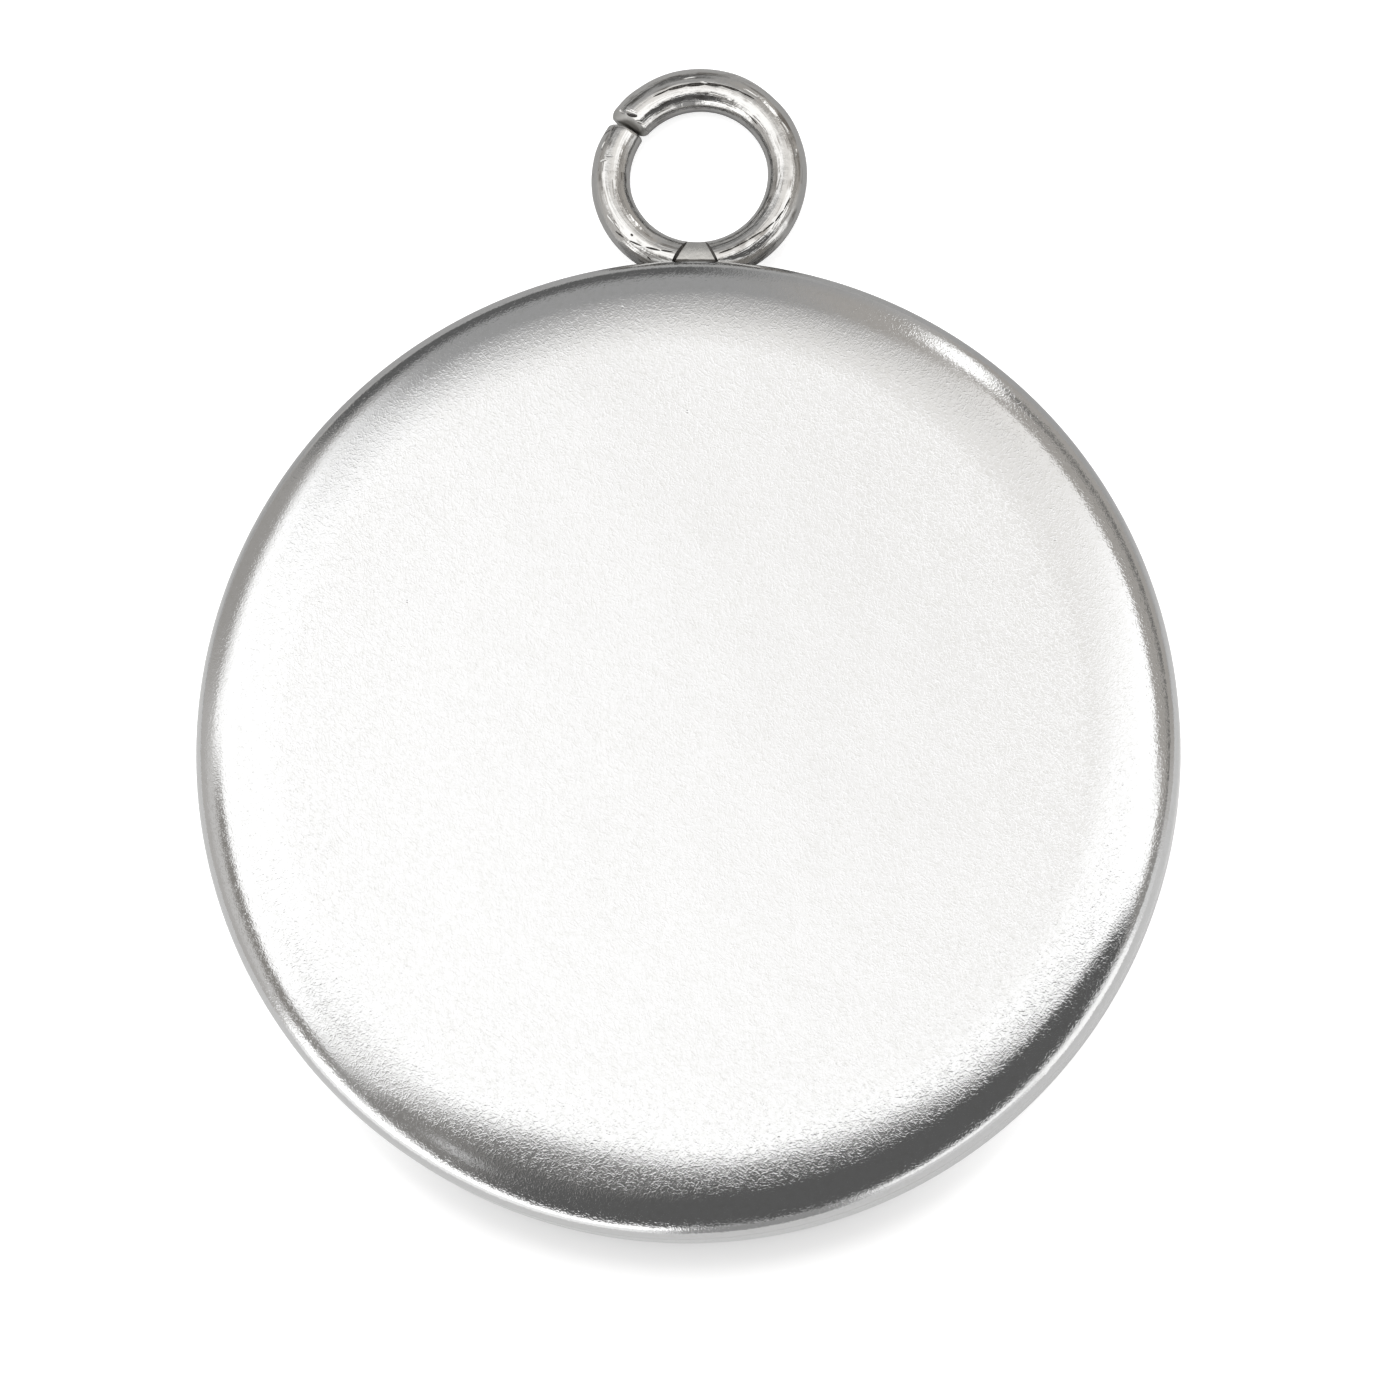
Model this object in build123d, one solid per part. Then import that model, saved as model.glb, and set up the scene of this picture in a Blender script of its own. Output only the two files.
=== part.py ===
from build123d import *
from math import asin, cos, degrees, radians, sin, tan
import os

# Round bezel cup for a flat-backed stone, pressed from steel sheet, with an open wire loop welded
# to its wall. It lies face down: the rim of the tray rests on z = 0, the closed back is on top and
# the loop points along +Y. The origin is the middle of the tray's mouth. Sizes are in millimetres
# and angles in degrees.

# Cup
stone_diameter = 25.0          # flat-backed stone that the tray is made for
stone_clearance = 0.1          # left free round the stone
sheet = 0.65                   # thickness of the steel sheet
cup_height = 2.5               # from the rim to the back
corner_radius = 0.55           # tight bend at the top of the wall, outside
corner_lean = 30.0             # lean from level where that bend ends
shoulder_radius = 3.1          # rounder bend next to it, outside
shoulder_lean = 14.0           # lean where the shoulder passes into the crown
crown_radius = 6.2             # slow bend that runs out into the flat back, outside
tray_corner_radius = 0.15      # inside, between the wall and the tray's floor
rim_round = 0.12               # edges of the rim, tumbled smooth

# Loop
wire_diameter = 1.08           # steel wire of the loop
loop_hole_diameter = 3.78      # clear hole of the loop
mandrel_flat = 0.01            # how deep the mandrel has pressed the inside of the bend flat
loop_bite = 0.46               # how deep the weld has sunk the wire into the cup's wall
loop_droop = 6.0               # how far the loop leans down, away from the cup
loop_lift = 0.03               # gap between the loop and the surface that the cup rests on
end_round = 0.12               # edges of both ends of the wire, tumbled smooth
pinch_lean = 16.0              # lean of the two bevels that the cutter left on one end
pinch_ridge = 0.08             # blunt ridge between them

# Sections of the wire from the square-cut end, round past the cup, to the pinch-cut end. The angle
# runs from +X, width and height are shares of the wire's diameter, and skew turns a section so
# that the gap opens outward. Pliers have squeezed the far side a little flat and wide.
wire_sections = [
    {"angle": 147.2, "width": 0.93, "height": 0.93, "skew": 9.0},
    {"angle": 170.0, "width": 0.97, "height": 0.97, "skew": 0.0},
    {"angle": 195.0, "width": 0.99, "height": 0.99, "skew": 0.0},
    {"angle": 225.0, "width": 1.00, "height": 1.00, "skew": 0.0},
    {"angle": 255.0, "width": 1.00, "height": 1.00, "skew": 0.0},
    {"angle": 285.0, "width": 1.00, "height": 1.00, "skew": 0.0},
    {"angle": 315.0, "width": 1.00, "height": 1.00, "skew": 0.0},
    {"angle": 345.0, "width": 0.99, "height": 0.99, "skew": 0.0},
    {"angle": 375.0, "width": 1.00, "height": 0.98, "skew": 0.0},
    {"angle": 405.0, "width": 1.04, "height": 0.96, "skew": 0.0},
    {"angle": 435.0, "width": 1.10, "height": 0.93, "skew": 0.0},
    {"angle": 465.0, "width": 1.11, "height": 0.93, "skew": 0.0},
    {"angle": 488.0, "width": 1.08, "height": 0.94, "skew": 0.0},
    {"angle": 505.5, "width": 1.04, "height": 0.95, "skew": 5.0},
]

# Flat that the welding tip pressed on top of the wire, beside the cup
weld_flat_depth = 0.2          # below the top of the wire
weld_flat_cup_width = 1.2      # at the cup
weld_flat_hole_width = 0.66    # at the hole of the loop
weld_flat_draft = 40.0         # lean of the steps on both sides of the flat

tray_radius = stone_diameter / 2 + stone_clearance
cup_radius = tray_radius + sheet
hole_radius = loop_hole_diameter / 2
loop_radius = hole_radius - mandrel_flat + wire_diameter / 2


def arc_point(centre, radius, lean):
    # The point of an arc where its surface leans this far from level
    return (centre[0] + radius * sin(radians(lean)), centre[1] + radius * cos(radians(lean)))


def bend_centres():
    # Centres of the corner, shoulder and crown arcs, each of which starts where the last one ends
    corner = (cup_radius - corner_radius, 0)
    shoulder = arc_point(corner, corner_radius - shoulder_radius, corner_lean)
    crown = arc_point(shoulder, shoulder_radius - crown_radius, shoulder_lean)
    rise = cup_height - crown_radius - crown[1]
    return [(x, z + rise) for x, z in (corner, shoulder, crown)]


def bend(centre, radius, lean_from, lean_to):
    leans = (lean_from, (lean_from + lean_to) / 2, lean_to)
    return ThreePointArc(*[arc_point(centre, radius, lean) for lean in leans])


def make_cup():
    corner, shoulder, crown = bend_centres()
    floor_height = cup_height - sheet
    inner_shoulder = shoulder_radius - sheet
    inner_crown = crown_radius - sheet
    # The inside of the shoulder is carried on to the tray's straight wall
    wall_lean = degrees(asin((tray_radius - shoulder[0]) / inner_shoulder))
    wall_end = arc_point(shoulder, inner_shoulder, wall_lean)

    with BuildSketch(Plane.XZ) as profile:
        with BuildLine():
            Line((cup_radius, 0), (cup_radius, corner[1]))
            bend(corner, corner_radius, 90, corner_lean)
            bend(shoulder, shoulder_radius, corner_lean, shoulder_lean)
            bend(crown, crown_radius, shoulder_lean, 0)
            Polyline((crown[0], cup_height), (0, cup_height), (0, floor_height), (crown[0], floor_height))
            bend(crown, inner_crown, 0, shoulder_lean)
            bend(shoulder, inner_shoulder, shoulder_lean, wall_lean)
            Polyline(wall_end, (tray_radius, 0), (cup_radius, 0))
        make_face()
        rim = profile.vertices().filter_by_position(Axis.Y, -rim_round / 2, rim_round / 2)
        fillet(rim.filter_by_position(Axis.X, tray_radius, cup_radius), rim_round)
        tray_corner = profile.vertices().sort_by_distance((wall_end[0], wall_end[1]))[0]
        fillet(tray_corner, tray_corner_radius)
    return revolve(profile.sketch, Axis.Z)


def section_plane(angle, radius, skew):
    # A plane across the wire, its X pointing out of the loop and its Y along -Z or +Z
    turned = radians(angle + skew)
    return Plane(
        origin=(radius * cos(radians(angle)), radius * sin(radians(angle)), 0),
        x_dir=(cos(turned), sin(turned), 0),
        z_dir=(-sin(turned), cos(turned), 0),
    )


def bend_radius(row):
    # From the middle of the hole to the middle of the wire
    return hole_radius - mandrel_flat + row["width"] * wire_diameter / 2


def wire_section(row):
    plane = section_plane(row["angle"], bend_radius(row), row["skew"])
    return plane * Ellipse(row["width"] * wire_diameter / 2, row["height"] * wire_diameter / 2)


def cut_pinched_end(wire):
    # The cutter's two jaws leave a blunt ridge across the wire, with a bevel above it and one below
    row = wire_sections[-1]
    middle = section_plane(row["angle"], bend_radius(row), row["skew"])
    side = Plane(origin=middle.origin, x_dir=middle.z_dir, z_dir=middle.x_dir)
    start, reach = pinch_ridge / 2, wire_diameter
    back = (start - reach) * tan(radians(pinch_lean))
    for way in (1, -1):
        jaw = side * make_face(Polyline((0, way * start), (0, way * reach), (back, way * reach), close=True))
        wire -= extrude(jaw, reach, both=True)
    return wire


def cut_weld_flat(wire):
    floor = Plane.XY.offset(wire_diameter / 2 - weld_flat_depth)
    outside = -(hole_radius + wire_diameter)
    corners = (
        (-weld_flat_hole_width / 2, -hole_radius),
        (weld_flat_hole_width / 2, -hole_radius),
        (weld_flat_cup_width / 2, outside),
        (-weld_flat_cup_width / 2, outside),
    )
    flat = floor * make_face(Polyline(*corners, close=True))
    return wire - extrude(flat, weld_flat_depth + wire_diameter / 2, taper=-weld_flat_draft)


def make_loop():
    wire = loft([wire_section(row) for row in wire_sections])
    ends = wire.faces().filter_by(GeomType.PLANE)
    wire = fillet(ends.edges(), end_round)
    wire = cut_weld_flat(cut_pinched_end(wire))
    # The hole is as round as the mandrel that the wire was bent on
    mandrel = Cylinder(hole_radius, wire_diameter)
    return wire - mandrel


def loop_height():
    # Puts the lowest point of the leaning wire just above the surface that the cup rests on
    depths = []
    for row in wire_sections:
        reach = bend_radius(row) * sin(radians(row["angle"]))
        half_height = row["height"] * wire_diameter / 2
        depths.append(reach * sin(radians(loop_droop)) + half_height)
    return loop_lift + max(depths)


def place_loop(loop):
    reach = (loop_radius + wire_diameter / 2) * cos(radians(loop_droop))
    return Pos(0, cup_radius - loop_bite + reach, loop_height()) * Rot(X=-loop_droop) * loop


os.makedirs("parts", exist_ok=True)
bezel_cup = make_cup() + place_loop(make_loop())
bezel_cup.label = "bezel_cup"
export_step(bezel_cup, "parts/bezel_cup.step")

print("outer diameter", 2 * cup_radius, "tray diameter", 2 * tray_radius)
print("straight wall ends at", round(bend_centres()[0][1], 3), "volume", round(bezel_cup.volume, 1))
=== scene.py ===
from math import asin, atan2, cos, degrees, hypot, pi, radians, sin, tan

import bmesh
import bpy
from mathutils import Matrix, Vector


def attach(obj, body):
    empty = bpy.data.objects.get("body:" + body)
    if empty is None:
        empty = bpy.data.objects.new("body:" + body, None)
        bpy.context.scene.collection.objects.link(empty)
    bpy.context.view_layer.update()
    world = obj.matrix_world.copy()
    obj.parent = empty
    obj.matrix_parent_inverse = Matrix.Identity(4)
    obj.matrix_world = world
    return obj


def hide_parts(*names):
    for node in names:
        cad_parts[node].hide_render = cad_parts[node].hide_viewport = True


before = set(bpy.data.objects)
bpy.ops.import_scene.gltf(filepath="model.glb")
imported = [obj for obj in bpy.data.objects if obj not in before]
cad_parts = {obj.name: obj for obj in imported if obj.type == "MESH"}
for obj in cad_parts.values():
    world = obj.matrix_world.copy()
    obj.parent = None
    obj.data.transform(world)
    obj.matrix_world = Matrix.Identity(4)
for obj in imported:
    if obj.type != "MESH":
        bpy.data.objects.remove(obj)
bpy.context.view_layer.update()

# A pressed steel bezel cup, lying face down with its closed back on top and an open wire loop
# welded to its wall. The rim rests on z = 0 and the loop points along +Y. Sizes are in millimetres
# until a mesh is made, and angles in degrees.
mm = 0.001


def linearFromHex(code):
    # sRGB hex to the linear values that shaders use
    channels = [int(code[i:i + 2], 16) / 255 for i in (1, 3, 5)]
    linear = [c / 12.92 if c <= 0.04045 else ((c + 0.055) / 1.055) ** 2.4 for c in channels]
    return (*linear, 1.0)


def addNode(tree, kind, settings=None, links=None):
    # One node with its settings and links. A setting or link is named for the node's own property or
    # for an input, by name or number
    node = tree.nodes.new(kind)
    for name, value in (settings or {}).items():
        if isinstance(name, str) and hasattr(node, name):
            setattr(node, name, value)
        else:
            node.inputs[name].default_value = value
    for name, source in (links or {}).items():
        tree.links.new(source, node.inputs[name])
    return node


def calculate(tree, operation, *terms):
    # A Math node whose terms are sockets or numbers
    node = addNode(tree, "ShaderNodeMath", {"operation": operation})
    for number, term in enumerate(terms):
        if isinstance(term, (int, float)):
            node.inputs[number].default_value = term
        else:
            tree.links.new(term, node.inputs[number])
    return node.outputs[0]


def fadeBetween(tree, source, start, end, low=0.0, high=1.0):
    # low where source is below start, high above end, and a smooth change in between
    node = addNode(tree, "ShaderNodeMapRange", {"interpolation_type": "SMOOTHSTEP"}, {"Value": source})
    for name, value in (("From Min", start), ("From Max", end), ("To Min", low), ("To Max", high)):
        node.inputs[name].default_value = value
    return node.outputs["Result"]


cup = {
    "stoneDiameter": 25.0,
    "stoneClearance": 0.1,
    "sheet": 0.65,
    "height": 2.5,
    "cornerRadius": 0.55,       # tight bend at the top of the wall
    "cornerLean": 30.0,
    "shoulderRadius": 3.1,      # rounder bend next to it
    "shoulderLean": 14.0,
    "crownRadius": 6.2,         # slow bend out to the flat back
    "trayCornerRadius": 0.15,
    "rimRound": 0.12,
    "turns": 360,               # faces round the cup
    # Where pressing has left the shoulder low: azimuth, half width in degrees, sag in millimetres
    "sags": [(258.5, 20.0, 0.105), (284.0, 26.0, 0.05), (108.0, 24.0, 0.035), (222.0, 16.0, 0.03)],
    "sagStart": 9.6,            # from the cup's axis; the sag is full from sagEnd on
    "sagEnd": 12.3,
}
trayRadius = cup["stoneDiameter"] / 2 + cup["stoneClearance"]
cupRadius = trayRadius + cup["sheet"]


def arcPoints(centre, radius, leanFrom, leanTo, steps):
    # Points of an arc of the profile, by how far the surface leans from level
    leans = [radians(leanFrom + (leanTo - leanFrom) * i / steps) for i in range(steps + 1)]
    return [(centre[0] + radius * sin(lean), centre[1] + radius * cos(lean)) for lean in leans]


def straightPoints(start, end, steps):
    return [
        (start[0] + (end[0] - start[0]) * i / steps, start[1] + (end[1] - start[1]) * i / steps)
        for i in range(steps + 1)
    ]


def cupProfile():
    # From the middle of the back, out and down the wall, round the rim and back in along the tray. The
    # last number of each part is its count of steps
    corner = [cupRadius - cup["cornerRadius"], 0.0]
    shoulder = arcPoints(corner, cup["cornerRadius"] - cup["shoulderRadius"], cup["cornerLean"], 90, 1)[0]
    crown = arcPoints(shoulder, cup["shoulderRadius"] - cup["crownRadius"], cup["shoulderLean"], 90, 1)[0]
    rise = cup["height"] - cup["crownRadius"] - crown[1]
    corner, shoulder, crown = [(x, z + rise) for x, z in (corner, shoulder, crown)]
    sheet, rimRound, fillet = cup["sheet"], cup["rimRound"], cup["trayCornerRadius"]
    innerShoulder = cup["shoulderRadius"] - sheet
    filletX = trayRadius - fillet
    filletZ = shoulder[1] + ((innerShoulder - fillet) ** 2 - (filletX - shoulder[0]) ** 2) ** 0.5
    filletLean = degrees(asin((filletX - shoulder[0]) / (innerShoulder - fillet)))
    parts = [
        straightPoints((0, cup["height"]), (crown[0], cup["height"]), 12)[1:],
        arcPoints(crown, cup["crownRadius"], 0, cup["shoulderLean"], 14),
        arcPoints(shoulder, cup["shoulderRadius"], cup["shoulderLean"], cup["cornerLean"], 14),
        arcPoints(corner, cup["cornerRadius"], cup["cornerLean"], 90, 22),
        straightPoints((cupRadius, corner[1]), (cupRadius, rimRound), 8),
        arcPoints((cupRadius - rimRound, rimRound), rimRound, 90, 180, 6),
        straightPoints((cupRadius - rimRound, 0), (trayRadius + rimRound, 0), 3),
        arcPoints((trayRadius + rimRound, rimRound), rimRound, 180, 270, 6),
        straightPoints((trayRadius, rimRound), (trayRadius, filletZ), 6),
        arcPoints((filletX, filletZ), fillet, 90, filletLean, 6),
        arcPoints(shoulder, innerShoulder, filletLean, cup["shoulderLean"], 10),
        arcPoints(crown, cup["crownRadius"] - sheet, cup["shoulderLean"], 0, 12),
        straightPoints((crown[0], cup["height"] - sheet), (0, cup["height"] - sheet), 10)[:-1],
    ]
    # Where two parts meet, their shared point is kept once
    closest = 0.001
    points = []
    for part in parts:
        for point in part:
            if not points or hypot(point[0] - points[-1][0], point[1] - points[-1][1]) > closest:
                points.append(point)
    return points


def easeBetween(value, start, end):
    share = min(max((value - start) / (end - start), 0), 1)
    return share * share * (3 - 2 * share)


def sagAt(x, z, turn):
    # How far a point of the cup sits below the even shape. The rim stays where it is
    sag = 0
    for azimuth, half, depth in cup["sags"]:
        aside = abs((turn - azimuth + 180) % 360 - 180) / half
        sag += depth * max(1 - aside * aside, 0) ** 2
    return sag * easeBetween(x, cup["sagStart"], cup["sagEnd"]) * z / cup["height"]


def makeCup(steelSheet):
    profile = cupProfile()
    mesh = bmesh.new()
    rings = []
    for x, z in profile:
        ring = []
        for i in range(cup["turns"]):
            turn = 2 * pi * i / cup["turns"]
            lowered = z - sagAt(x, z, degrees(turn))
            ring.append(mesh.verts.new((x * cos(turn) * mm, x * sin(turn) * mm, lowered * mm)))
        rings.append(ring)
    backMiddle = mesh.verts.new((0, 0, cup["height"] * mm))
    floorMiddle = mesh.verts.new((0, 0, (cup["height"] - cup["sheet"]) * mm))
    for i in range(cup["turns"]):
        j = (i + 1) % cup["turns"]
        for upper, lower in zip(rings, rings[1:]):
            mesh.faces.new((upper[i], lower[i], lower[j], upper[j]))
        mesh.faces.new((backMiddle, rings[0][i], rings[0][j]))
        mesh.faces.new((floorMiddle, rings[-1][j], rings[-1][i]))
    return finishMesh(mesh, "pressedCup", steelSheet)


def finishMesh(mesh, name, *materials):
    data = bpy.data.meshes.new(name)
    mesh.to_mesh(data)
    mesh.free()
    for material in materials:
        data.materials.append(material)
    piece = bpy.data.objects.new(name, data)
    bpy.context.scene.collection.objects.link(piece)
    return piece


loop = {
    "wireDiameter": 1.08,
    "holeDiameter": 3.78,
    "mandrelFlat": 0.01,        # the mandrel has pressed the inside of the bend flat by this much
    "bite": 0.46,               # how deep the weld has sunk the wire into the wall
    "droop": 6.0,
    "lift": 0.03,
    "cutRound": 0.12,           # edge of the square-cut end, on top and at the sides
    "cutSideRound": 0.18,
    "lipLength": 0.22,          # dull lip round the pinched end
    "lipDrop": 0.28,
    "lipSideRound": 0.2,
    "pinchLean": 16.0,          # lean of the two bevels that the cutter's jaws left on it
    "pinchRidge": 0.3,
    "jawReach": 1.2,            # of the wire's diameter, up and to the sides
    "jawBeyond": 0.015,         # past the end, and short of the other end of the wire
    "flatDepth": 0.2,           # the welding tip's flat
    "flatCupWidth": 1.6,
    "flatHoleWidth": 0.44,
    "flatDraft": 19.0,
    "flatLean": 15.0,           # the tip's face sinks towards the hole
    "flatBend": -2.24,          # and is level from here to the cup
    "around": 64,               # faces round the wire
    "endSteps": 8,              # rings of faces in the rounding of each end
    "step": 1.2,                # degrees of bend for each ring of faces
    "sharpAngle": 28.0,         # between faces; steeper edges stay sharp
    "nickAround": 32,           # faces round the ball that cuts a mark, and from end to end
    "nickRows": 20,
    # angle, width and height as shares of the wire, and skew
    "sections": [
        (147.2, 0.93, 0.93, 9.0), (170.0, 0.97, 0.97, 0.0), (195.0, 0.99, 0.99, 0.0),
        (225.0, 1.00, 1.00, 0.0), (255.0, 1.00, 1.00, 0.0), (285.0, 1.00, 1.00, 0.0),
        (315.0, 1.00, 1.00, 0.0), (345.0, 0.99, 0.99, 0.0), (375.0, 1.00, 0.98, 0.0),
        (405.0, 1.04, 0.96, 0.0), (435.0, 1.10, 0.93, 0.0), (465.0, 1.11, 0.93, 0.0),
        (488.0, 1.08, 0.94, 0.0), (505.5, 1.04, 0.95, 5.0),
    ],
}
holeRadius = loop["holeDiameter"] / 2
wire = loop["wireDiameter"]
# Marks that tools left on the wire: angle on the bend, place across it (out of the loop is +), turn
# from the wire's direction, length, width and depth in millimetres
nicks = [
    (501.0, 0.27, 98.0, 0.32, 0.13, 0.055),     # dents behind the pinched end's lip
    (498.9, -0.31, 62.0, 0.36, 0.12, 0.050),
    (497.6, 0.04, 75.0, 0.52, 0.15, 0.040),
    (444.0, 0.02, 8.0, 0.55, 0.10, 0.015),
    (456.0, 0.20, -5.0, 0.42, 0.08, 0.015),
    (436.0, -0.22, 4.0, 0.50, 0.09, 0.018),
    (418.0, 0.18, 3.0, 0.62, 0.08, 0.015),
    (388.0, 0.24, -6.0, 0.46, 0.10, 0.020),
    (372.0, 0.30, 12.0, 0.28, 0.10, 0.020),
    (354.0, -0.18, 5.0, 0.52, 0.07, 0.015),
    (326.0, 0.22, -4.0, 0.48, 0.09, 0.018),
    (170.0, 0.05, 88.0, 0.46, 0.08, 0.018),     # plier's edge
    (173.5, 0.20, 80.0, 0.30, 0.07, 0.015),
    (163.0, 0.30, 10.0, 0.34, 0.10, 0.020),
    (192.0, -0.10, 6.0, 0.60, 0.08, 0.015),
    (210.0, 0.28, -8.0, 0.40, 0.09, 0.018),
]
# Deeper ones, coloured dark
grooves = [
    (499.1, -0.02, 64.0, 0.36, 0.11, 0.050),
    (150.8, 0.27, 4.0, 0.20, 0.05, 0.022),      # hooked scratch beside the square-cut end
    (153.9, 0.38, 55.0, 0.30, 0.05, 0.022),
    (226.5, 0.10, 2.0, 0.09, 0.07, 0.020),
    (243.0, 0.34, 20.0, 0.16, 0.05, 0.018),
    (338.0, -0.30, 12.0, 0.20, 0.04, 0.015),
    (405.0, -0.34, 5.0, 0.30, 0.04, 0.015),
    # long lines that the die and the pliers left, as chains of short ones that follow the bend
    (474.5, -0.010, -2.0, 0.54, 0.05, 0.020),
    (464.0, -0.010, -1.0, 0.62, 0.09, 0.030),
    (453.0, 0.000, -2.0, 0.62, 0.11, 0.036),
    (442.0, 0.025, -2.0, 0.62, 0.09, 0.030),
    (431.0, 0.045, -1.0, 0.60, 0.07, 0.024),
    (420.0, 0.070, -2.0, 0.54, 0.05, 0.018),
    (340.0, 0.210, 5.0, 0.42, 0.04, 0.015),
    (331.0, 0.175, 6.0, 0.46, 0.05, 0.018),
    (321.5, 0.110, 9.0, 0.48, 0.05, 0.018),
    (311.5, 0.030, 8.0, 0.50, 0.05, 0.018),
    (300.5, -0.005, 2.0, 0.52, 0.05, 0.018),
    (290.5, 0.000, 0.0, 0.44, 0.05, 0.018),
    (220.5, 0.320, -13.0, 0.36, 0.05, 0.016),
    (231.5, 0.205, -14.0, 0.44, 0.05, 0.018),
    (242.5, 0.080, -14.0, 0.46, 0.06, 0.020),
    (251.5, -0.010, -10.0, 0.36, 0.05, 0.018),
]


def sectionAt(angle):
    # Width, height and skew of the wire there, eased from one row of the table to the next
    rows = loop["sections"]
    angle = min(max(angle, rows[0][0]), rows[-1][0])
    for before, after in zip(rows, rows[1:]):
        if angle <= after[0]:
            break
    share = (angle - before[0]) / (after[0] - before[0])
    share = share * share * (3 - 2 * share)
    width, height, skew = [before[i] + (after[i] - before[i]) * share for i in (1, 2, 3)]
    return width * wire, height * wire, skew


def bendRadius(width):
    return holeRadius - loop["mandrelFlat"] + width / 2


def sectionFrame(angle):
    width, height, skew = sectionAt(angle)
    turn, turned = radians(angle), radians(angle + skew)
    middle = Vector((cos(turn), sin(turn), 0)) * bendRadius(width)
    outward = Vector((cos(turned), sin(turned), 0))
    along = Vector((-sin(turned), cos(turned), 0))
    return middle, outward, along, width, height


def wireRing(mesh, angle, sideShrink=0.0, topShrink=0.0):
    # A ring of vertices round the wire, drawn in at a rounded end
    middle, outward, along, width, height = sectionFrame(angle)
    ring = []
    for i in range(loop["around"]):
        t = 2 * pi * i / loop["around"]
        point = middle + outward * ((width / 2 - sideShrink) * cos(t))
        point.z = (height / 2 - topShrink) * sin(t)
        # The mandrel has kept the inside of the bend out of the hole
        reach = hypot(point.x, point.y)
        if reach < holeRadius:
            point.x *= holeRadius / reach
            point.y *= holeRadius / reach
        ring.append(mesh.verts.new(point * mm))
    return ring


def bendAngle(length):
    return degrees(length / bendRadius(wire))


def roundedEnd(mesh, angle):
    # Rings from the flat of the square-cut end to the side of the wire
    rings = []
    for i in range(loop["endSteps"], 0, -1):
        turn = pi / 2 * i / loop["endSteps"]
        inward = bendAngle(loop["cutRound"] * (1 - sin(turn)))
        drawnIn = 1 - cos(turn)
        sideShrink, topShrink = loop["cutSideRound"] * drawnIn, loop["cutRound"] * drawnIn
        rings.append(wireRing(mesh, angle + inward, sideShrink, topShrink))
    return rings


def lippedEnd(mesh, angle):
    # Rings from the crease behind the pinched end's lip to its flat. The lip is a straight bevel on top
    # and rounded at the sides
    rings = []
    for i in range(1, loop["endSteps"] + 1):
        share = i / loop["endSteps"]
        inward = bendAngle(loop["lipLength"] * (1 - share))
        sideShrink = loop["lipSideRound"] * (1 - (1 - share * share) ** 0.5)
        rings.append(wireRing(mesh, angle - inward, sideShrink, loop["lipDrop"] * share))
    return rings


def makeWire(steelWire, sheared):
    mesh = bmesh.new()
    first, last = loop["sections"][0][0], loop["sections"][-1][0]
    count = round((last - first) / loop["step"])
    start = first + bendAngle(loop["cutRound"])
    end = last - bendAngle(loop["lipLength"])
    rings = roundedEnd(mesh, first)
    rings += [wireRing(mesh, start + (end - start) * i / count) for i in range(count + 1)]
    crease = len(rings) - 1
    rings += lippedEnd(mesh, last)
    around = loop["around"]
    for number, (before, after) in enumerate(zip(rings, rings[1:])):
        for i in range(around):
            j = (i + 1) % around
            face = mesh.faces.new((before[i], before[j], after[j], after[i]))
            face.material_index = 1 if number >= crease else 0
    for ring, material in ((rings[0], 0), (rings[-1], 1)):
        middle = sum((v.co for v in ring), Vector()) / around
        centre = mesh.verts.new(middle)
        for i in range(around):
            mesh.faces.new((centre, ring[i], ring[(i + 1) % around])).material_index = material
    bmesh.ops.recalc_face_normals(mesh, faces=mesh.faces)
    return finishMesh(mesh, "loopWire", steelWire, sheared)


def makeCutter(name, corners, depth, material):
    # A prism from a flat outline, corners in millimetres, pushed along depth both ways
    mesh = bmesh.new()
    rows = []
    for way in (-1, 1):
        rows.append([mesh.verts.new((Vector(c) + Vector(depth) * way) * mm) for c in corners])
    mesh.faces.new(rows[0])
    mesh.faces.new(list(reversed(rows[1])))
    for i in range(len(corners)):
        j = (i + 1) % len(corners)
        mesh.faces.new((rows[0][j], rows[0][i], rows[1][i], rows[1][j]))
    bmesh.ops.recalc_face_normals(mesh, faces=mesh.faces)
    return finishMesh(mesh, name, material)


def makePinchCutters(sheared):
    # The two jaws of the cutter, above and below the blunt ridge on the pinched end
    middle, outward, along, width, height = sectionFrame(loop["sections"][-1][0])
    start, reach, beyond = loop["pinchRidge"] / 2, loop["jawReach"] * wire, loop["jawBeyond"]
    back = (start - reach) * tan(radians(loop["pinchLean"]))
    cutters = []
    for way in (1, -1):
        up = Vector((0, 0, way))
        corners = [
            middle + up * start,
            middle + up * start + along * beyond,
            middle + up * reach + along * beyond,
            middle + up * reach + along * back,
        ]
        cutters.append(makeCutter("pinchJaw", corners, outward * loop["jawReach"] * wire, sheared))
    return cutters


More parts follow.
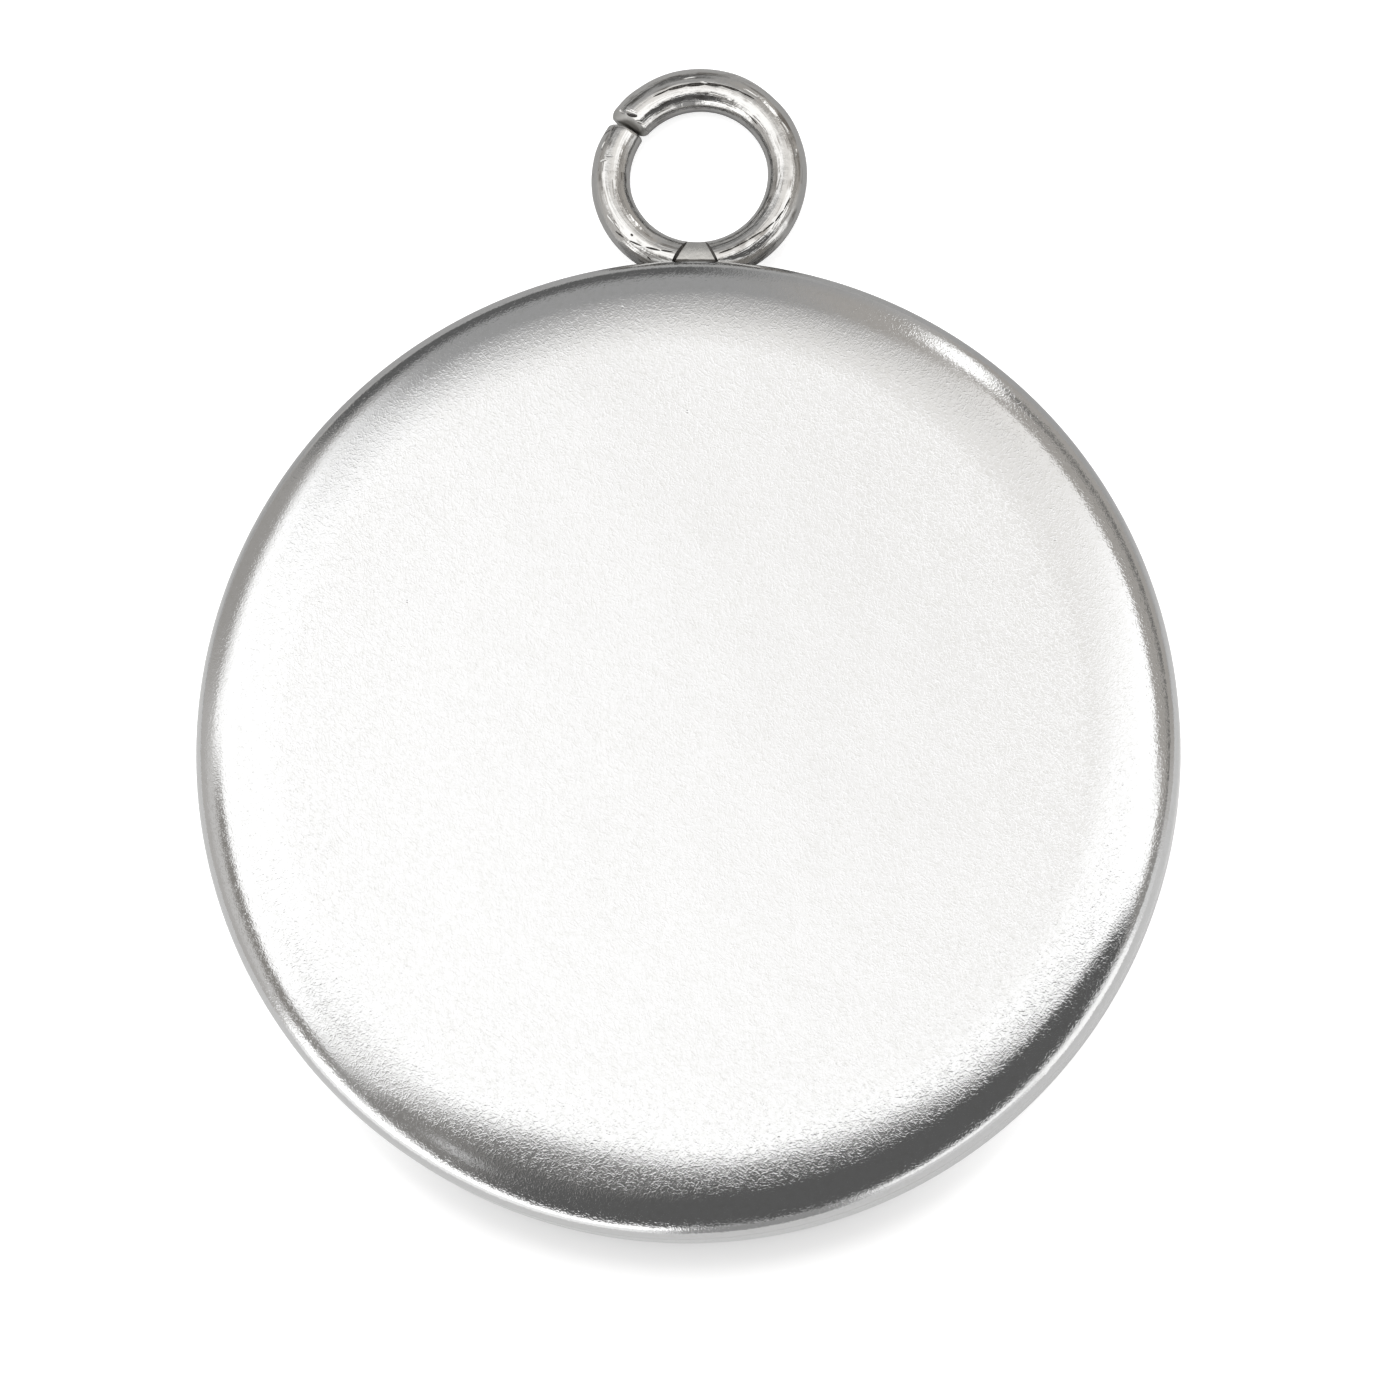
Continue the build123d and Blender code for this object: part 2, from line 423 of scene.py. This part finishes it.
def makeFlatCutter(pressed, darkenedSides):
    # The welding tip: a tapered block that comes down on the wire beside the cup. Its face is level at
    # the cup and sinks towards the hole, and its sides leave steps that are coloured dark
    level = wire / 2 - loop["flatDepth"]
    beyond = 0.1                # so that the block cuts right through the side of the wire
    inner, bend, outer = -holeRadius + beyond, loop["flatBend"], -(holeRadius + wire) - beyond
    sunk = level - (inner - bend) * tan(radians(loop["flatLean"]))
    slope = (loop["flatCupWidth"] - loop["flatHoleWidth"]) / 2 / wire
    # Corners 0 to 2 of a row run from the cup to the hole on one side, and 3 to 5 on the other
    mesh = bmesh.new()
    lowRow, highRow = [], []
    for side in (-1, 1):
        for y, z in ((outer, level), (bend, level), (inner, sunk)):
            half = loop["flatHoleWidth"] / 2 + (-holeRadius - y) * slope
            spread = (wire - z) * tan(radians(loop["flatDraft"]))
            lowRow.append(mesh.verts.new(Vector((side * half, y, z)) * mm))
            highRow.append(mesh.verts.new(Vector((side * (half + spread), y, wire)) * mm))
    for row in (lowRow, highRow):
        mesh.faces.new((row[0], row[1], row[4], row[3]))
        mesh.faces.new((row[1], row[2], row[5], row[4]))
    for i, j in ((0, 1), (1, 2), (2, 5), (5, 4), (4, 3), (3, 0)):
        mesh.faces.new((lowRow[i], lowRow[j], highRow[j], highRow[i])).material_index = 1
    bmesh.ops.recalc_face_normals(mesh, faces=mesh.faces)
    return finishMesh(mesh, "weldingTip", pressed, darkenedSides)


def makeNickCutter(nick, material):
    # A squashed ball that dips into the top of the wire by the nick's depth
    angle, across, turn, length, width, depth = nick
    middle, outward, along, wireWidth, wireHeight = sectionFrame(angle)
    share = across / (wireWidth / 2)
    rise = (1 - share * share) ** 0.5
    lean = atan2(share / wireWidth, rise / wireHeight)
    up = Vector((0, 0, 1))
    normal = outward * sin(lean) + up * cos(lean)
    side = outward * cos(lean) - up * sin(lean)
    lengthways = along * cos(radians(turn)) + side * sin(radians(turn))
    sideways = normal.cross(lengthways)
    halfHeight = 3 * depth                                      # of the ball
    cutShare = (1 - (1 - depth / halfHeight) ** 2) ** 0.5       # of its girth, at the surface
    surface = middle + outward * across + up * (rise * wireHeight / 2)
    centre = surface + normal * (halfHeight - depth)
    mesh = bmesh.new()
    around, rows = loop["nickAround"], loop["nickRows"]
    bmesh.ops.create_uvsphere(mesh, u_segments=around, v_segments=rows, radius=1)
    for vertex in mesh.verts:
        a, b, c = vertex.co
        reach = lengthways * (a * length / 2) / cutShare + sideways * (b * width / 2) / cutShare
        vertex.co = (centre + reach + normal * (c * halfHeight)) * mm
    return finishMesh(mesh, "nick", material)


def combine(piece, other, operation):
    # Joins the other solid to the piece or cuts it away, and removes it from the scene. Each face keeps
    # the material of the solid that it came from
    modifier = piece.modifiers.new("cut", "BOOLEAN")
    modifier.object = other
    modifier.operation = operation
    modifier.solver = "EXACT"
    modifier.material_mode = "TRANSFER"
    graph = bpy.context.evaluated_depsgraph_get()
    graph.update()
    result = bpy.data.meshes.new_from_object(piece.evaluated_get(graph))
    piece.modifiers.clear()
    piece.data = result
    bpy.data.objects.remove(other)


def loopPlace():
    # The loop leans down, away from the cup, until it is just above the surface
    droop = radians(loop["droop"])
    depths = []
    for angle, width, height, skew in loop["sections"]:
        depths.append(bendRadius(width * wire) * sin(radians(angle)) * sin(droop) + height * wire / 2)
    away = cupRadius - loop["bite"] + (bendRadius(wire) + wire / 2) * cos(droop)
    return Vector((0, away, loop["lift"] + max(depths)))


def makeBezelCup():
    steelWire, sheared, dark = polishedWire(), shearedEnd(), darkenedSteel()
    piece = makeCup(tumbledSheet())
    wirePiece = makeWire(steelWire, sheared)
    for cutter in makePinchCutters(sheared):
        combine(wirePiece, cutter, "DIFFERENCE")
    combine(wirePiece, makeFlatCutter(pressedFlat(), dark), "DIFFERENCE")
    for rows, material in ((nicks, steelWire), (grooves, dark)):
        for row in rows:
            combine(wirePiece, makeNickCutter(row, material), "DIFFERENCE")
    wirePiece.data.transform(Matrix.Rotation(-radians(loop["droop"]), 4, "X"))
    wirePiece.data.transform(Matrix.Translation(loopPlace() * mm))
    combine(piece, wirePiece, "UNION")
    piece.name = "bezelCup"
    piece.data.name = "bezelCup"
    piece.data.shade_smooth()
    piece.data.set_sharp_from_angle(angle=radians(loop["sharpAngle"]))
    return piece


steel = {
    "colour": "#BEBEBE",
    "grainColour": "#BABAB9",   # dull specks; the real ones are finer and would not show
    "grainSize": 0.16,          # mm
    "grainLimits": (0.4, 0.75),
    "satinRoughness": 0.15,     # tumbled with ceramic chips
    "burnishedRoughness": 0.07,
    "satinEnd": 11.8,           # from the cup's axis; beyond it the edge is rubbed bright
    "burnishedStart": 12.5,
    "markLength": 0.14,         # marks that the chips leave, mm, drawn as coarse as they need to show
    "markWidth": 0.046,
    "markDepth": 0.0018,
    "markTurns": (12, 58, 101, 147),
    "markLimits": (0.52, 0.78), # of the noise, from no mark to a full one
    "markRoughness": 0.02,
    "faceMarks": 0.5,           # share of the marks' depth on the flat face
    "faceLimits": (6, 12),      # where it grows to the full depth, from the cup's axis
    "edgeMarks": 0.4,           # share of it where the edge is rubbed bright
    "pitSpacing": 2.2,          # tiny pits in the sheet, mm
    "pitLimits": (0.008, 0.022),    # of the spacing, from the middle of a pit to its edge
    "pitDepth": 0.006,
    "pressSpacing": 3.6,        # slow waves that pressing leaves, mm
    "pressDepth": 0.018,
}
wireSteel = {
    "colour": "#BBBAB8",
    "film": "#807D79",          # thin dark film that the bending oil left in the lines and dents
    "filmInLines": (0.5, 0.64), # of the noise, from none to full
    "filmInDents": (0.42, 0.62),
    "roughness": 0.06,
    "lineLength": 2.2,          # lines that the drawing die left along the wire, mm
    "lineWidth": 0.12,
    "lineDepth": 0.014,
    "handlingSpacing": 0.6,     # small dents from bending and tumbling, mm
    "handlingDepth": 0.024,
    "cutColour": "#B0AFAC",     # sheared lip of the pinched end
    "cutRoughness": 0.38,
    "cutLineWidth": 0.03,       # shear lines, mm
    "cutLineDepth": 0.004,
    "flatColour": "#B8B7B4",    # under the welding tip
    "flatRoughness": 0.2,
    "flatWaveSpacing": 0.3,
    "flatWaveDepth": 0.012,
    "darkShade": "#454341",          # painted shade in the corner of the weld at the cup; also the darkest colour in the grooves and steps
    "shadeCorner": -2.45,        # where the painted shade starts, from the middle of the hole towards the cup
    "shadeFade": 0.02,
    "darkRoughness": 0.5,
    "darkGrain": 0.06,          # mm
    "darkLimits": (0.45, 0.8),  # of the noise, from the darkest colour to the thinner film
}


def newMaterial(name):
    material = bpy.data.materials.new(name)
    material.use_nodes = True
    material.node_tree.nodes.clear()
    return material, material.node_tree


def addBump(tree, height, depth, before=None):
    links = {"Height": height}
    if before is not None:
        links["Normal"] = before
    node = addNode(tree, "ShaderNodeBump", {"Strength": 1.0, "Distance": depth * mm}, links)
    return node.outputs["Normal"]


def noiseAt(tree, place, size, detail, roughness=0.5, turn=0.0):
    # Noise with patches of this size along each axis, turned in the plane of x and y
    settings = {"vector_type": "TEXTURE", "Scale": size, "Rotation": (0, 0, radians(turn))}
    stretched = addNode(tree, "ShaderNodeMapping", settings, {"Vector": place})
    settings = {"Scale": 1.0, "Detail": detail, "Roughness": roughness}
    return addNode(tree, "ShaderNodeTexNoise", settings, {"Vector": stretched.outputs[0]}).outputs[0]


def roughnessAround(tree, noise, middle, below, above):
    # Follows the noise from a little below the middle value to a little above it. Most of a noise
    # lies between these two values
    lowest, highest = 0.3, 0.7
    return fadeBetween(tree, noise, lowest, highest, middle - below, middle + above)


def mixColours(tree, share, first, second):
    settings = {"data_type": "RGBA", 6: linearFromHex(first), 7: linearFromHex(second)}
    return addNode(tree, "ShaderNodeMix", settings, {0: share}).outputs[2]


def finishMaterial(tree, colour, roughness, normal):
    # A metal. Its colour is a socket or a fixed value
    settings, links = {"Metallic": 1.0}, {"Roughness": roughness, "Normal": normal}
    (settings if isinstance(colour, tuple) else links)["Base Color"] = colour
    shader = addNode(tree, "ShaderNodeBsdfPrincipled", settings, links)
    addNode(tree, "ShaderNodeOutputMaterial", links={"Surface": shader.outputs[0]})


def tumbledSheet():
    # 304 stainless sheet, pressed and tumbled with chips: the flats are satin with short marks in all
    # directions, and the edge, which meets the chips most, is rubbed bright
    material, tree = newMaterial("tumbledStainlessSheet")
    place = addNode(tree, "ShaderNodeTexCoord").outputs["Object"]
    axes = addNode(tree, "ShaderNodeSeparateXYZ", links={0: place})
    flat = addNode(tree, "ShaderNodeCombineXYZ", links={0: axes.outputs[0], 1: axes.outputs[1]})
    length = addNode(tree, "ShaderNodeVectorMath", {"operation": "LENGTH"}, {0: flat.outputs[0]})
    reach = length.outputs["Value"]
    satin = fadeBetween(tree, reach, steel["satinEnd"] * mm, steel["burnishedStart"] * mm, 1, 0)
    markLength, markWidth = steel["markLength"] * mm, steel["markWidth"] * mm
    marks = 0.0
    for turn in steel["markTurns"]:
        noise = noiseAt(tree, place, (markLength, markWidth, markWidth), 1.0, turn=turn)
        marks = calculate(tree, "ADD", marks, fadeBetween(tree, noise, *steel["markLimits"]))
    pits = addNode(
        tree, "ShaderNodeTexVoronoi", {"Scale": 1 / (steel["pitSpacing"] * mm)}, {"Vector": place}
    ).outputs["Distance"]
    pits = fadeBetween(tree, pits, *steel["pitLimits"])
    press = noiseAt(tree, place, (steel["pressSpacing"] * mm,) * 3, 2.0, 0.4)
    roughness = fadeBetween(tree, satin, 0, 1, steel["burnishedRoughness"], steel["satinRoughness"])
    roughness = calculate(tree, "MULTIPLY_ADD", marks, steel["markRoughness"], roughness)
    faceStart, faceEnd = steel["faceLimits"]
    strength = fadeBetween(tree, reach, faceStart * mm, faceEnd * mm, steel["faceMarks"], 1.0)
    edgeStrength = fadeBetween(tree, satin, 0, 1, steel["edgeMarks"], 1.0)
    strength = calculate(tree, "MULTIPLY", strength, edgeStrength)
    markHeight = calculate(tree, "MULTIPLY", marks, strength)
    normal = addBump(tree, press, steel["pressDepth"])
    normal = addBump(tree, pits, steel["pitDepth"], normal)
    normal = addBump(tree, markHeight, steel["markDepth"], normal)
    grain = noiseAt(tree, place, (steel["grainSize"] * mm,) * 3, 4.0, 0.6)
    specks = fadeBetween(tree, grain, *steel["grainLimits"])
    colour = mixColours(tree, specks, steel["colour"], steel["grainColour"])
    finishMaterial(tree, colour, roughness, normal)
    return material


def insideLimits(tree, *limits):
    # 1 where every source is inside its limits and 0 elsewhere. A limit is (source, low, high, softness)
    mask = 1.0
    for source, low, high, soft in limits:
        if low is not None:
            above = fadeBetween(tree, source, low - soft, low + soft)
            mask = calculate(tree, "MULTIPLY", mask, above)
        if high is not None:
            below = fadeBetween(tree, source, high - soft, high + soft, 1, 0)
            mask = calculate(tree, "MULTIPLY", mask, below)
    return mask


def loopPlaces(tree):
    # Along the bend, out of it and up, in millimetres, from the middle of the loop's hole, and the
    # loop's own y, which is lowest at the cup
    inLoop = addNode(
        tree, "ShaderNodeMapping",
        {"vector_type": "TEXTURE", "Location": loopPlace() * mm, "Scale": (mm, mm, mm),
         "Rotation": (-radians(loop["droop"]), 0, 0)},
        {"Vector": addNode(tree, "ShaderNodeTexCoord").outputs["Object"]},
    )
    x, y, z = addNode(tree, "ShaderNodeSeparateXYZ", links={0: inLoop.outputs[0]}).outputs
    along = calculate(tree, "MULTIPLY", calculate(tree, "ARCTAN2", y, x), holeRadius + wire / 2)
    squares = calculate(tree, "ADD", calculate(tree, "MULTIPLY", x, x), calculate(tree, "MULTIPLY", y, y))
    reach = calculate(tree, "SQRT", squares)
    return addNode(tree, "ShaderNodeCombineXYZ", links={0: along, 1: reach, 2: z}).outputs[0], y


def polishedWire():
    # 304 stainless wire, drawn through a die, bent and tumbled bright: nearly a mirror, broken into
    # streaks by lines along it, with small dents and a faint film
    material, tree = newMaterial("polishedStainlessWire")
    place = loopPlaces(tree)[0]
    lineSize = (wireSteel["lineLength"], wireSteel["lineWidth"], wireSteel["lineWidth"])
    lines = noiseAt(tree, place, lineSize, 4.0, 0.55)
    handling = noiseAt(tree, place, (wireSteel["handlingSpacing"],) * 3, 4.0, 0.55)
    roughness = roughnessAround(tree, handling, wireSteel["roughness"], 0.03, 0.05)
    inLines = fadeBetween(tree, lines, *wireSteel["filmInLines"])
    inDents = fadeBetween(tree, handling, *wireSteel["filmInDents"])
    film = calculate(tree, "MULTIPLY", inLines, inDents)
    colour = mixColours(tree, film, wireSteel["colour"], wireSteel["film"])
    normal = addBump(tree, handling, wireSteel["handlingDepth"])
    normal = addBump(tree, lines, wireSteel["lineDepth"], normal)
    finishMaterial(tree, colour, roughness, normal)
    return material


def shearedEnd():
    # The same wire where the cutter's jaws sheared it: dull and even, with fine lines up the cut
    material, tree = newMaterial("shearedStainlessWire")
    place = loopPlaces(tree)[0]
    width = wireSteel["cutLineWidth"]
    lines = noiseAt(tree, place, (10 * width, width, 10 * width), 2.0)
    roughness = roughnessAround(tree, lines, wireSteel["cutRoughness"], 0.05, 0.05)
    normal = addBump(tree, lines, wireSteel["cutLineDepth"])
    finishMaterial(tree, linearFromHex(wireSteel["cutColour"]), roughness, normal)
    return material


def pressedFlat():
    # The wire under the welding tip: ironed flat and a little wavy, with painted shade, a dark colour, in
    # its corner at the cup
    material, tree = newMaterial("ironedWeldFlat")
    place, y = loopPlaces(tree)
    waves = noiseAt(tree, place, (wireSteel["flatWaveSpacing"],) * 3, 3.0)
    fade = wireSteel["shadeFade"]
    ragged = calculate(tree, "MULTIPLY_ADD", waves, 2 * fade, y)
    corner = wireSteel["shadeCorner"] + fade
    # Painted shade: the flat turns dark, with a ragged edge, towards the crevice at the cup
    darkShade = fadeBetween(tree, ragged, corner - fade, corner + fade, 1, 0)
    colour = mixColours(tree, darkShade, wireSteel["flatColour"], wireSteel["darkShade"])
    roughness = roughnessAround(tree, waves, wireSteel["flatRoughness"], 0.06, 0.1)
    finishMaterial(tree, colour, roughness, addBump(tree, waves, wireSteel["flatWaveDepth"]))
    return material


def darkenedSteel():
    # Dark colour on steel, in the steps on both sides of that flat and in deep grooves
    material, tree = newMaterial("darkenedStainlessSteel")
    place = loopPlaces(tree)[0]
    grain = noiseAt(tree, place, (wireSteel["darkGrain"],) * 3, 2.0)
    thin = fadeBetween(tree, grain, *wireSteel["darkLimits"])
    colour = mixColours(tree, thin, wireSteel["darkShade"], wireSteel["film"])
    roughness = roughnessAround(tree, grain, wireSteel["darkRoughness"], 0.1, 0.1)
    finishMaterial(tree, colour, roughness, addBump(tree, grain, wireSteel["cutLineDepth"]))
    return material


studio = {
    "tilt": 9.0,                # camera's lean from straight above, degrees
    "azimuth": 300.0,           # towards the lower edge of the picture, a little right
    "distance": 200.0,
    "lens": 191.07,
    "sensorWidth": 36.0,
    "nearest": 10.0,            # that the camera sees, and the furthest
    "furthest": 10000.0,
    "roll": 1.09,
    "aimRight": 0.345,          # where the middle of the picture lies, from the cup's middle
    "aimUp": 1.31,
    "aimHeight": 1.0,
    "floorSize": 1500.0,
    "floorDrop": 0.01,          # keeps the rim's underside clear of the floor's surface
    "floorColour": "#CCCCCC",       # as the camera sees it, and the darker painted reflection of it that the steel mirrors
    "paintedReflectionColour": "#A5A5A5",
    "floorRoughness": 0.9,
    "floorSpecular": 0.2,
    "seenEdges": (-13.5, -7.5),     # y where the board's painted glow changes
    "seenPaintedGlow": (0.24, 0.7),        # before and after them: less painted glow on the near side, so that shade shows only below the cup
    # glow that only the steel mirrors, a painted reflection, brighter on the near side
    "mirroredEdges": (1.5, 12.0),
    "mirroredPaintedGlow": (0.37, 0.0),
    "sunStrength": 2.2,
    "sunDistance": 300.0,
    "sunTilt": 34.0,
    "sunAzimuth": 92.0,
    "sunSpread": 34.0,
}


def makeCamera():
    tilt, azimuth = radians(studio["tilt"]), radians(studio["azimuth"])
    back = Vector((sin(tilt) * cos(azimuth), sin(tilt) * sin(azimuth), cos(tilt)))
    up = Vector((0, 1, 0))
    up = (up - back * up.dot(back)).normalized()
    right = up.cross(back)
    roll = radians(studio["roll"])
    right, up = right * cos(roll) + up * sin(roll), up * cos(roll) - right * sin(roll)
    target = Vector((0, 0, studio["aimHeight"])) + right * studio["aimRight"] + up * studio["aimUp"]
    data = bpy.data.cameras.new("camera")
    data.lens = studio["lens"]
    data.sensor_width = studio["sensorWidth"]
    data.clip_start = studio["nearest"] * mm
    data.clip_end = studio["furthest"] * mm
    camera = bpy.data.objects.new("camera", data)
    turn = Matrix((right, up, back)).transposed().to_4x4()
    camera.matrix_world = Matrix.Translation((target + back * studio["distance"]) * mm) @ turn
    bpy.context.scene.collection.objects.link(camera)
    bpy.context.scene.camera = camera


def makeFloor():
    mesh = bmesh.new()
    half, level = studio["floorSize"] / 2 * mm, -studio["floorDrop"] * mm
    corners = [(-half, -half, level), (half, -half, level), (half, half, level), (-half, half, level)]
    mesh.faces.new([mesh.verts.new(c) for c in corners])
    material, tree = newMaterial("whiteBoardWithPaintedGlow")
    # The board glows though it is no lamp, as painted light. The camera sees it whiter, with more glow
    # behind the object, so shade shows only below it; the steel mirrors it darker, as a painted
    # reflection with more glow on the near side
    seen = addNode(tree, "ShaderNodeLightPath").outputs["Is Camera Ray"]
    colour = mixColours(tree, seen, studio["paintedReflectionColour"], studio["floorColour"])
    surface = {"Roughness": studio["floorRoughness"], "Specular IOR Level": studio["floorSpecular"]}
    shader = addNode(tree, "ShaderNodeBsdfPrincipled", surface, {"Base Color": colour})
    place = addNode(tree, "ShaderNodeTexCoord").outputs["Object"]
    y = addNode(tree, "ShaderNodeSeparateXYZ", links={0: place}).outputs[1]
    near, far = studio["seenEdges"]
    seenPaintedGlow = fadeBetween(tree, y, near * mm, far * mm, *studio["seenPaintedGlow"])
    near, far = studio["mirroredEdges"]
    mirroredPaintedGlow = fadeBetween(tree, y, near * mm, far * mm, *studio["mirroredPaintedGlow"])
    change = calculate(tree, "SUBTRACT", seenPaintedGlow, mirroredPaintedGlow)
    glow = calculate(tree, "MULTIPLY_ADD", seen, change, mirroredPaintedGlow)
    lit = addNode(tree, "ShaderNodeEmission", {"Color": (1, 1, 1, 1)}, {"Strength": glow})
    both = addNode(tree, "ShaderNodeAddShader", links={0: shader.outputs[0], 1: lit.outputs[0]})
    addNode(tree, "ShaderNodeOutputMaterial", links={"Surface": both.outputs[0]})
    finishMesh(mesh, "floor", material)


# What stands round the object in the studio, as bright or dark areas of the surroundings. Azimuth
# runs from +X and zenith from straight above, in degrees, as (from, to, softness) or None where
# open, and ahead is the slope towards the near side. Azimuth is (middle, half width, softness).
# Warm is how far the area is from neutral. Later areas lie over earlier ones.
ceilingLight = 2.06
warmLoss = (0.045, 0.1)         # share of green and of blue that fully warm light lacks
surroundings = [
    dict(name="ceiling's far end", light=1.5, warm=0.4, azimuth=(78, 38, 16), zenith=(4, 60, 5)),
    dict(name="walls", light=0.8, warm=0.5, zenith=(57, None, 3)),
    dict(name="wall, left", light=0.45, warm=1.0, azimuth=(194, 20, 6), zenith=(47, 57, 2.5)),
    dict(name="strip of light, left", light=1.0, warm=0.3, azimuth=(188, 22, 8), zenith=(58, 64, 2)),
    dict(name="wall, far left", light=0.6, warm=0.7, azimuth=(152, 12, 7), zenith=(52, 90, 7)),
    dict(name="wall, right", light=0.66, warm=1.0, azimuth=(36, 30, 4), zenith=(45.5, None, 1.2)),
    dict(name="wall, right end", light=0.66, warm=1.0, azimuth=(6, 24, 5), zenith=(51, 62, 1.5)),
    dict(name="shelf, right", light=0.3, warm=0.6, azimuth=(36, 38, 6), zenith=(58.5, 63, 0.8)),
    dict(name="back wall", light=0.58, azimuth=(103, 30, 13), zenith=(31, 90, 13)),
    dict(name="back wall, right", light=0.68, warm=1.0, azimuth=(75, 9, 7), zenith=(38, 66, 7)),
    dict(name="table's far edge", light=0.2, azimuth=(115, 24, 6), zenith=(63, 80, 2.5)),
    dict(name="right lamp", light=2.8, azimuth=(64, 4, 3), zenith=(51, 65, 3)),
    dict(name="dark side", light=0.18, azimuth=(288, 60, 5), zenith=(None, 55, 2),
         ahead=(0.21, None, 0.05)),
    dict(name="dark side, left end", light=0.42, warm=0.6, azimuth=(225, 15, 8), zenith=(18, 55, 5)),
    dict(name="pale card", light=1.0, azimuth=(233, 5, 4), zenith=(36, 43, 3)),
    dict(name="front wall", light=1.15, azimuth=(306, 50, 6), zenith=(55, None, 1.5)),
    dict(name="table's near side", light=0.5, azimuth=(277, 13, 3), zenith=(55, 90, 1.5)),
    dict(name="left lamp's frame", light=1.6, azimuth=(235, 27, 3), zenith=(57, None, 2)),
    dict(name="left lamp", light=2.8, azimuth=(235, 27, 3), zenith=(57, 71, 1.5)),
    dict(name="front lamp, left end", light=1.8, azimuth=(306, 13, 3), zenith=(59, 73, 4)),
    dict(name="front lamp", light=1.85, azimuth=(331, 12, 3.5), zenith=(61, None, 9)),
    dict(name="right corner", light=0.5, warm=0.6, azimuth=(351, 9, 4), zenith=(53, 62, 1.5)),
]


def areaColour(area):
    # Painted walls are a little warm
    light, warm = area["light"], area.get("warm", 0)
    return (light, light * (1 - warmLoss[0] * warm), light * (1 - warmLoss[1] * warm), 1)


def makeWorld():
    world = bpy.data.worlds.new("studio")
    bpy.context.scene.world = world
    world.use_nodes = True
    world.cycles.sampling_method = "NONE"       # its areas are soft and large, so this saves time
    tree = world.node_tree
    tree.nodes.clear()
    direction = addNode(tree, "ShaderNodeTexCoord").outputs["Generated"]
    x, y, z = addNode(tree, "ShaderNodeSeparateXYZ", links={0: direction}).outputs
    zenith = calculate(tree, "MULTIPLY", calculate(tree, "ARCCOSINE", z), degrees(1))
    azimuth = calculate(tree, "MULTIPLY", calculate(tree, "ARCTAN2", y, x), degrees(1))
    lowest = 0.02               # keeps the slope finite at the horizon
    height = calculate(tree, "MAXIMUM", z, lowest)
    ahead = calculate(tree, "DIVIDE", calculate(tree, "MULTIPLY", y, -1), height)
    light = addNode(tree, "ShaderNodeRGB").outputs[0]
    light.default_value = areaColour({"light": ceilingLight})
    for area in surroundings:
        sources = {"zenith": zenith, "ahead": ahead}
        limits = [(sources[key], *area[key]) for key in sources if key in area]
        if "azimuth" in area:
            middle, half, soft = area["azimuth"]
            turned = calculate(tree, "WRAP", calculate(tree, "SUBTRACT", azimuth, middle), 180, -180)
            limits.append((calculate(tree, "ABSOLUTE", turned), None, half, soft))
        mask = insideLimits(tree, *limits)
        settings = {"label": area["name"], "data_type": "RGBA", 7: areaColour(area)}
        light = addNode(tree, "ShaderNodeMix", settings, {0: mask, 6: light}).outputs[2]
    seen = addNode(tree, "ShaderNodeLightPath").outputs["Is Camera Ray"]
    white = {"data_type": "RGBA", 7: (1, 1, 1, 1)}
    shown = addNode(tree, "ShaderNodeMix", white, {0: seen, 6: light})
    background = addNode(tree, "ShaderNodeBackground", links={"Color": shown.outputs[2]})
    addNode(tree, "ShaderNodeOutputWorld", links={"Surface": background.outputs[0]})


def makeKeyLight():
    # A large soft lamp at the top of the picture. It lights the board and gives the soft shadow below
    data = bpy.data.lights.new("keyLight", "SUN")
    data.energy = studio["sunStrength"]
    data.angle = radians(studio["sunSpread"])
    lamp = bpy.data.objects.new("keyLight", data)
    tilt, azimuth = radians(studio["sunTilt"]), radians(studio["sunAzimuth"])
    back = Vector((sin(tilt) * cos(azimuth), sin(tilt) * sin(azimuth), cos(tilt)))
    lamp.rotation_mode = "QUATERNION"
    lamp.rotation_quaternion = back.to_track_quat("Z", "Y")
    lamp.location = back * (studio["sunDistance"] * mm)
    lamp.visible_glossy = False
    bpy.context.scene.collection.objects.link(lamp)


makeCamera()
makeWorld()
makeKeyLight()
makeFloor()
print("studio made")

bezelCup = makeBezelCup()
faces, materials = len(bezelCup.data.polygons), len(bezelCup.data.materials)
print("cup and loop made,", faces, "faces,", materials, "materials")
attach(bezelCup, "root")
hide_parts("bezel_cup")

bpy.context.scene.view_settings.view_transform = "Standard"
bpy.context.scene.view_settings.look = "None"
